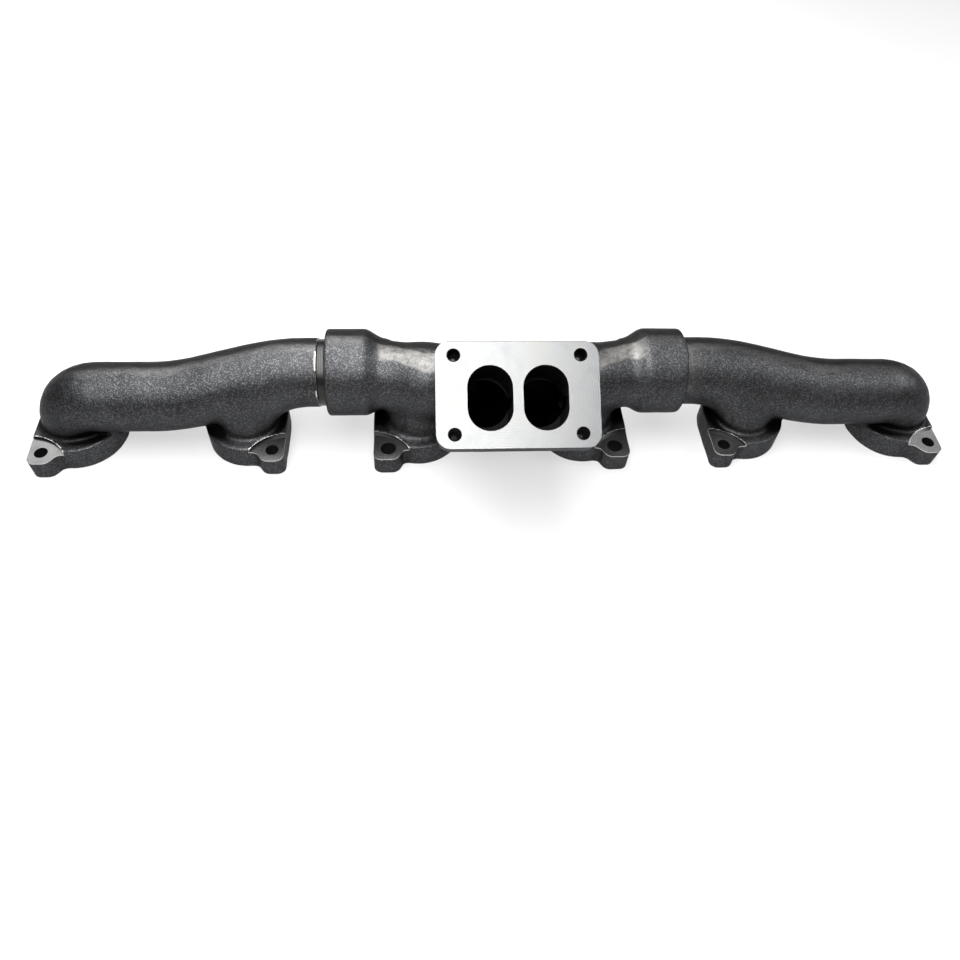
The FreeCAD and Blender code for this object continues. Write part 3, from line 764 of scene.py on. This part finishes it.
def ground_face():
    """Turbocharger flange: bright ground metal with faint arcs left by the facing cutter."""
    blue, grey, warm = (0.143, 0.146, 0.150), (0.172, 0.174, 0.172), (0.184, 0.180, 0.164)
    groove = (0.13, 0.135, 0.145)
    n = Nodes("ground_face")
    shifted = n.add("ShaderNodeVectorMath", operation="SUBTRACT")
    n.link(n.place, shifted.inputs[0])
    shifted.inputs[1].default_value = tuple(CUTTER_AXIS * MM)
    swirl = shifted.outputs[0]
    rings = {"wave_type": "RINGS", "rings_direction": "SPHERICAL"}
    arcs = n.wave(swirl, 140.0, 2.4, 3.0, 1.5, **rings)
    fine = n.wave(swirl, 420.0, 0.8, **rings)
    split = n.add("ShaderNodeSeparateXYZ")
    n.link(n.place, split.inputs[0])
    right = n.math("MULTIPLY", n.math("ADD", split.outputs[0], 0.02), 14.0, clamp=True)
    stain = n.noise(38.0, 5.0, 0.68)
    color = n.ramp(stain, ((0.30, blue), (0.52, grey), (0.75, warm)))
    scored = n.math("MULTIPLY", n.ramp(arcs, ((0.2, 0.46), (0.8, 0.0))), right)
    color = n.mix(scored, color, groove)
    rough = n.span(n.math("MULTIPLY", arcs, stain), 0.30, 0.55)
    normal = n.bump(arcs, 0.16, 0.00014)
    normal = n.bump(fine, 0.15, 0.00007, normal)
    return n.finish(color, rough, normal, 0.92)


def ring_steel():
    """Ground alloy of the seal rings."""
    n = Nodes("ring_alloy")
    grain = n.noise(900.0, 3.0, 0.6)
    color = n.tones(grain, (0.20, 0.20, 0.195), (0.32, 0.315, 0.31))
    return n.finish(color, n.span(grain, 0.22, 0.4), n.bump(grain, 0.2, 0.0001), 0.95)


FINISHES = [cast_iron(), milled_iron(), ground_face(), turned_iron(), soot_and_shade()]


# ------------------------------------------------------------ wear masks and masks of painted shade

# Pairs are the two ends of a fade: across a casting in degrees from its top, positive towards
# the front, and along it in mm.
PATCH = {"back": (-10, -7), "front": (20, 26), "drop": 13, "drop_from": (30, 75),
         "fade_in": 9, "fade_out": (68, 74)}
PATCH_GAP = {"left": 10.0, "right": 3.0}        # from the socket to the ground patch, mm
STRIP = {"back": (-9, -7), "front": (-2, 11), "fade_out": (-4, 3)}
STRIP_WEAR = {"left": 0.45, "right": 0.18}      # how bright the strip on a socket is
LINE = {"back": (-12, -6), "front": (3, 12), "wear": 0.30, "uneven": (0.14, 23.0)}
COLLAR = {"back": (-9, -2), "front": (70, 95), "fade_out": (3, 16), "wear": 0.22}
# The crown pairs fade the painted shade on the upper back of the logs.
CROWN_SHADE_BACK, CROWN_SHADE_FRONT_CENTER, CROWN_SHADE_FRONT_END = (-85, -50), (-10.5, -7.5), (-11, -3)
BELOW_FLANGE = -30                              # the plate itself has no rubbed patches, mm
SHELTER_REACHES = (5.0, 10.0, 18.0)             # how far out a hollow is looked for, mm
SHELTER_GAIN = 1.6
SHARP_ANGLE = 32                                # degrees


def smooth_step(value, low, high):
    """Rises from 0 at low to 1 at high."""
    t = np.clip((value - low) / (high - low), 0, 1)
    return t * t * (3 - 2 * t)


def ripple(distance, wave, phase=0):
    """Slow waver along a casting, so no mask has a ruled edge; wave is (height, length)."""
    height, length = wave
    return height * np.sin(distance / length + phase)


def tilt_about(axis_y, axis_z, co):
    """Angle of a point about a lengthwise axis: 0 at the top, positive towards the front."""
    return np.degrees(np.arctan2(-(co[:, 1] - axis_y), co[:, 2] - axis_z))


def center_tilt(side, co):
    """Angle of each point about the log axis of the centre casting, on one side."""
    along = np.clip(SIDES[side] * co[:, 0] / (MOUTH[side] - SOCKET_LENGTH), 0, 1)
    return tilt_about(MIDDLE_Y + (JOINT_Y - MIDDLE_Y) * along,
                      MIDDLE_Z + (JOINT_Z - MIDDLE_Z) * along, co)


def rub_of_center(co):
    """Ground patches on the log beside the flange, and a lighter strip on the sockets."""
    mask = np.zeros(len(co))
    for side, sign in SIDES.items():
        inward = MOUTH[side] - sign * co[:, 0]
        own_half = (inward > 0) & (inward < MOUTH[side])
        tilt = center_tilt(side, co)
        wander = ripple(inward, (2.5, 8.0), 0) + ripple(inward, (1.5, 3.1), sign)
        past = inward - SOCKET_LENGTH
        bent = tilt + wander - PATCH["drop"] * smooth_step(past, *PATCH["drop_from"])
        patch = smooth_step(bent, *PATCH["back"]) * (1 - smooth_step(bent, *PATCH["front"]))
        patch *= smooth_step(past, PATCH_GAP[side], PATCH_GAP[side] + PATCH["fade_in"])
        patch *= 1 - smooth_step(past, *PATCH["fade_out"])
        strip = smooth_step(tilt + wander / 2, *STRIP["back"])
        strip *= 1 - smooth_step(tilt, *STRIP["front"])
        strip *= STRIP_WEAR[side] * (1 - smooth_step(past, *STRIP["fade_out"]))
        mask = np.maximum(mask, np.maximum(patch, strip) * own_half)
    above = co @ FACE_OUT - FACE @ FACE_OUT
    return mask * (above < BELOW_FLANGE)


def end_tilt(side, co):
    """Angle of each point about the bent log of an end casting."""
    near, far = BEND_NEAR[side], BEND_FAR[side]
    t = np.clip((SIDES[side] * co[:, 0] - near) / (far - near), 0, 1)
    blend = 0.5 - 0.5 * np.cos(math.pi * t)
    return tilt_about(JOINT_Y + (OUTER_Y - JOINT_Y) * blend,
                      JOINT_Z + (OUTER_Z - JOINT_Z) * blend, co)


def rub_of_end(side, co):
    """Fettled parting line along the top of an end casting, and on the right a worn collar."""
    distance = SIDES[side] * co[:, 0]
    tilt = end_tilt(side, co)
    bent = tilt + ripple(distance, (3, 11.0)) + ripple(distance, (2, 4.3))
    strip = smooth_step(bent, *LINE["back"]) * (1 - smooth_step(bent, *LINE["front"]))
    strip *= LINE["wear"] + ripple(distance, LINE["uneven"])
    if side == "right":
        past = distance - MOUTH[side] - SHOULDER_GAP[side]
        collar = COLLAR["wear"] * (1 - smooth_step(past, *COLLAR["fade_out"]))
        collar *= smooth_step(tilt, *COLLAR["back"]) * (1 - smooth_step(tilt, *COLLAR["front"]))
        strip = np.maximum(strip, collar)
    return strip * (co[:, 2] > OUTER_Z - 20)


def crown_shade_of_center(co):
    """Smoother skin behind the parting line of the centre casting, darkened there as painted
    shade of the upper back.
    """
    tilt = np.where(co[:, 0] < 0, center_tilt("left", co), center_tilt("right", co))
    return (1 - smooth_step(tilt, *CROWN_SHADE_FRONT_CENTER)) * smooth_step(tilt, *CROWN_SHADE_BACK)


def crown_shade_of_end(side, co):
    """Smoother skin behind the parting line of an end casting, darkened there as painted shade of
    the upper back.
    """
    tilt = end_tilt(side, co)
    front_edge = 1 - smooth_step(tilt + ripple(co[:, 0], (2, 19.0)), *CROWN_SHADE_FRONT_END)
    return front_edge * smooth_step(tilt, *CROWN_SHADE_BACK)


def sample(g, field, co):
    """Value of a field between its grid points; outside the grid it grows with distance."""
    free = (co - g.low) / VOXEL
    at = np.clip(free, 0, np.array(field.shape) - 1.001)
    cell = at.astype(int)
    part = at - cell
    total = np.zeros(len(co))
    for corner in np.ndindex(2, 2, 2):
        weight = np.prod(np.where(corner, part, 1 - part), axis=1)
        total += weight * field[tuple((cell + corner).T)]
    return total + np.linalg.norm(free - at, axis=1) * VOXEL


def shelter(g, field, co, normals):
    """How far a point lies in a hollow of the skin: 0 in the open, 1 in a deep corner."""
    hidden = np.zeros(len(co))
    for reach in SHELTER_REACHES:
        hidden += np.clip((reach - sample(g, field, co + normals * reach)) / reach, 0, 1)
    return np.clip(hidden / len(SHELTER_REACHES) * SHELTER_GAIN, 0, 1)


def read(items, key, kind, width=1):
    """One property of all a mesh's items as an array."""
    values = np.empty(len(items) * width, kind)
    items.foreach_get(key, values)
    return values.reshape(-1, width) if width > 1 else values


def write(mesh, name, domain, values):
    """Stores a mask on a mesh, for its material to read."""
    attribute = mesh.attributes.new(name, "FLOAT", domain)
    attribute.data.foreach_set("value", values.astype(np.float32))


def paint_masks(casting, rub, crown_shade, fields):
    """Writes the skin masks per point, and bright edges where a cut meets the skin: bare metal,
    with a painted highlight along them.
    """
    mesh = casting.data
    g, field, _ = fields
    co = read(mesh.vertices, "co", float, 3) / MM
    normals = read(mesh.vertices, "normal", float, 3)
    write(mesh, "rub", "POINT", rub(co))
    # Mask of the painted shade on the upper back of the logs.
    write(mesh, "crown_shade", "POINT", crown_shade(co))
    write(mesh, "hollow", "POINT", shelter(g, field, co, normals))
    finish = read(mesh.polygons, "material_index", np.int32)
    corners = read(mesh.loops, "vertex_index", np.int32)
    by_corner = np.repeat(finish, read(mesh.polygons, "loop_total", np.int32))
    cut_points = np.zeros(len(mesh.vertices), bool)
    cut_points[corners[(by_corner == MILLED) | (by_corner == TURNED)]] = True
    # Mask of the painted edge highlight.
    write(mesh, "edge", "CORNER", cut_points[corners] & (by_corner == CAST))


def shade(casting):
    """Smooth skin, crisp machined edges, and a flat ground face."""
    mesh = casting.data
    finish = read(mesh.polygons, "material_index", np.int32)
    mesh.polygons.foreach_set("use_smooth", finish != GROUND)
    mesh.set_sharp_from_angle(angle=math.radians(SHARP_ANGLE))


# ------------------------------------------------------------ the object

def build_casting(name, body, fields, tools, rub, crown_shade, seed):
    """A cast and machined skin on its body, in place of the body's CAD casting."""
    casting = cast_mesh(name, *fields, seed)
    for finish in FINISHES:
        casting.data.materials.append(finish)
    machine(casting, tools)
    paint_masks(casting, rub, crown_shade, fields)
    shade(casting)
    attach(casting, body)
    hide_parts(name.replace("_skin", "_casting"))


build_casting("center_skin", "center", center_fields(), center_tools(),
              rub_of_center, crown_shade_of_center, SAND_SEED["center"])
for side in SIDES:
    build_casting(side + "_end_skin", side + "_end", end_fields(side), end_tools(side),
                  lambda co, side=side: rub_of_end(side, co),
                  lambda co, side=side: crown_shade_of_end(side, co), SAND_SEED[side])

ring_finish = ring_steel()
for name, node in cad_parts.items():
    if "ring" in name:
        node.data.materials.clear()
        node.data.materials.append(ring_finish)


# ------------------------------------------------------------ studio

def floor():
    """Pale paper under the object, giving off a little light of its own."""
    half = 6.0                          # metres
    corners = [(-half, -half, 0), (half, -half, 0), (half, half, 0), (-half, half, 0)]
    mesh = bpy.data.meshes.new("floor")
    mesh.from_pydata(corners, [], [(0, 1, 2, 3)])
    n = Nodes("paper")
    color = n.tones(n.noise(3.0), (0.265, 0.265, 0.265), (0.282, 0.282, 0.282))
    n.shader.inputs["Emission Color"].default_value = (1, 1, 1, 1)
    n.shader.inputs["Emission Strength"].default_value = PAPER_GLOW
    mesh.materials.append(n.finish(color, 0.9, n.bump(n.noise(900.0), 0.02, 0.0002), 0.0))
    place_in_scene("floor", mesh)


def softbox(name, place, aim, size, power):
    """Rectangular light at a place, turned towards a point."""
    light = bpy.data.lights.new(name, "AREA")
    light.shape = "RECTANGLE"
    light.size, light.size_y = size
    light.energy = power
    obj = place_in_scene(name, light)
    obj.location = place
    obj.rotation_euler = (Vector(aim) - Vector(place)).to_track_quat("-Z", "Y").to_euler()


def camera():
    """Looks down at the object from the front, a little left of its middle."""
    place = Vector((-82.02, -551.58, 628.98)) * MM
    right = Vector((0.99718, -0.05695, 0.04880))
    up = Vector((0.01517, 0.79037, 0.61244))
    back = Vector((-0.07345, -0.60998, 0.78901))
    data = bpy.data.cameras.new("camera")
    data.sensor_width = 36.0
    data.lens = 29.56
    data.clip_start, data.clip_end = 0.02, 50
    obj = place_in_scene("camera", data)
    obj.matrix_world = Matrix.Translation(place) @ Matrix((right, up, back)).transposed().to_4x4()
    bpy.context.scene.camera = obj


def studio_world():
    """Dim surroundings for the lighting, with a backdrop as pale as the far paper."""
    world = bpy.data.worlds.new("studio")
    world.use_nodes = True
    nodes, links = world.node_tree.nodes, world.node_tree.links
    dim = nodes["Background"]
    dim.inputs["Color"].default_value = (0.85, 0.86, 0.88, 1)
    dim.inputs["Strength"].default_value = 0.06
    backdrop = nodes.new("ShaderNodeBackground")
    backdrop.inputs["Color"].default_value = (1, 1, 1, 1)
    backdrop.inputs["Strength"].default_value = PAPER_GLOW + 0.02
    path = nodes.new("ShaderNodeLightPath")
    mixed = nodes.new("ShaderNodeMixShader")
    links.new(path.outputs["Is Camera Ray"], mixed.inputs[0])
    links.new(dim.outputs[0], mixed.inputs[1])
    links.new(backdrop.outputs[0], mixed.inputs[2])
    links.new(mixed.outputs[0], nodes["World Output"].inputs["Surface"])
    bpy.context.scene.world = world


floor()
softbox("overhead", place=(-0.25, 0.0, 1.25), aim=(-0.15, 0.0, 0), size=(2.9, 1.05), power=78)
softbox("overhead_right", place=(1.72, 0.0, 1.25), aim=(1.4, 0.0, 0), size=(0.9, 1.05), power=23)
softbox("back_left", place=(-1.45, 1.5, 1.7), aim=(-0.4, 0, 0.05), size=(1.2, 0.8), power=6.2)
softbox("back_right", place=(1.95, 1.5, 1.7), aim=(0.4, 0, 0.05), size=(1.2, 0.8), power=3.5)
studio_world()
bpy.context.scene.view_settings.view_transform = "Standard"
camera()
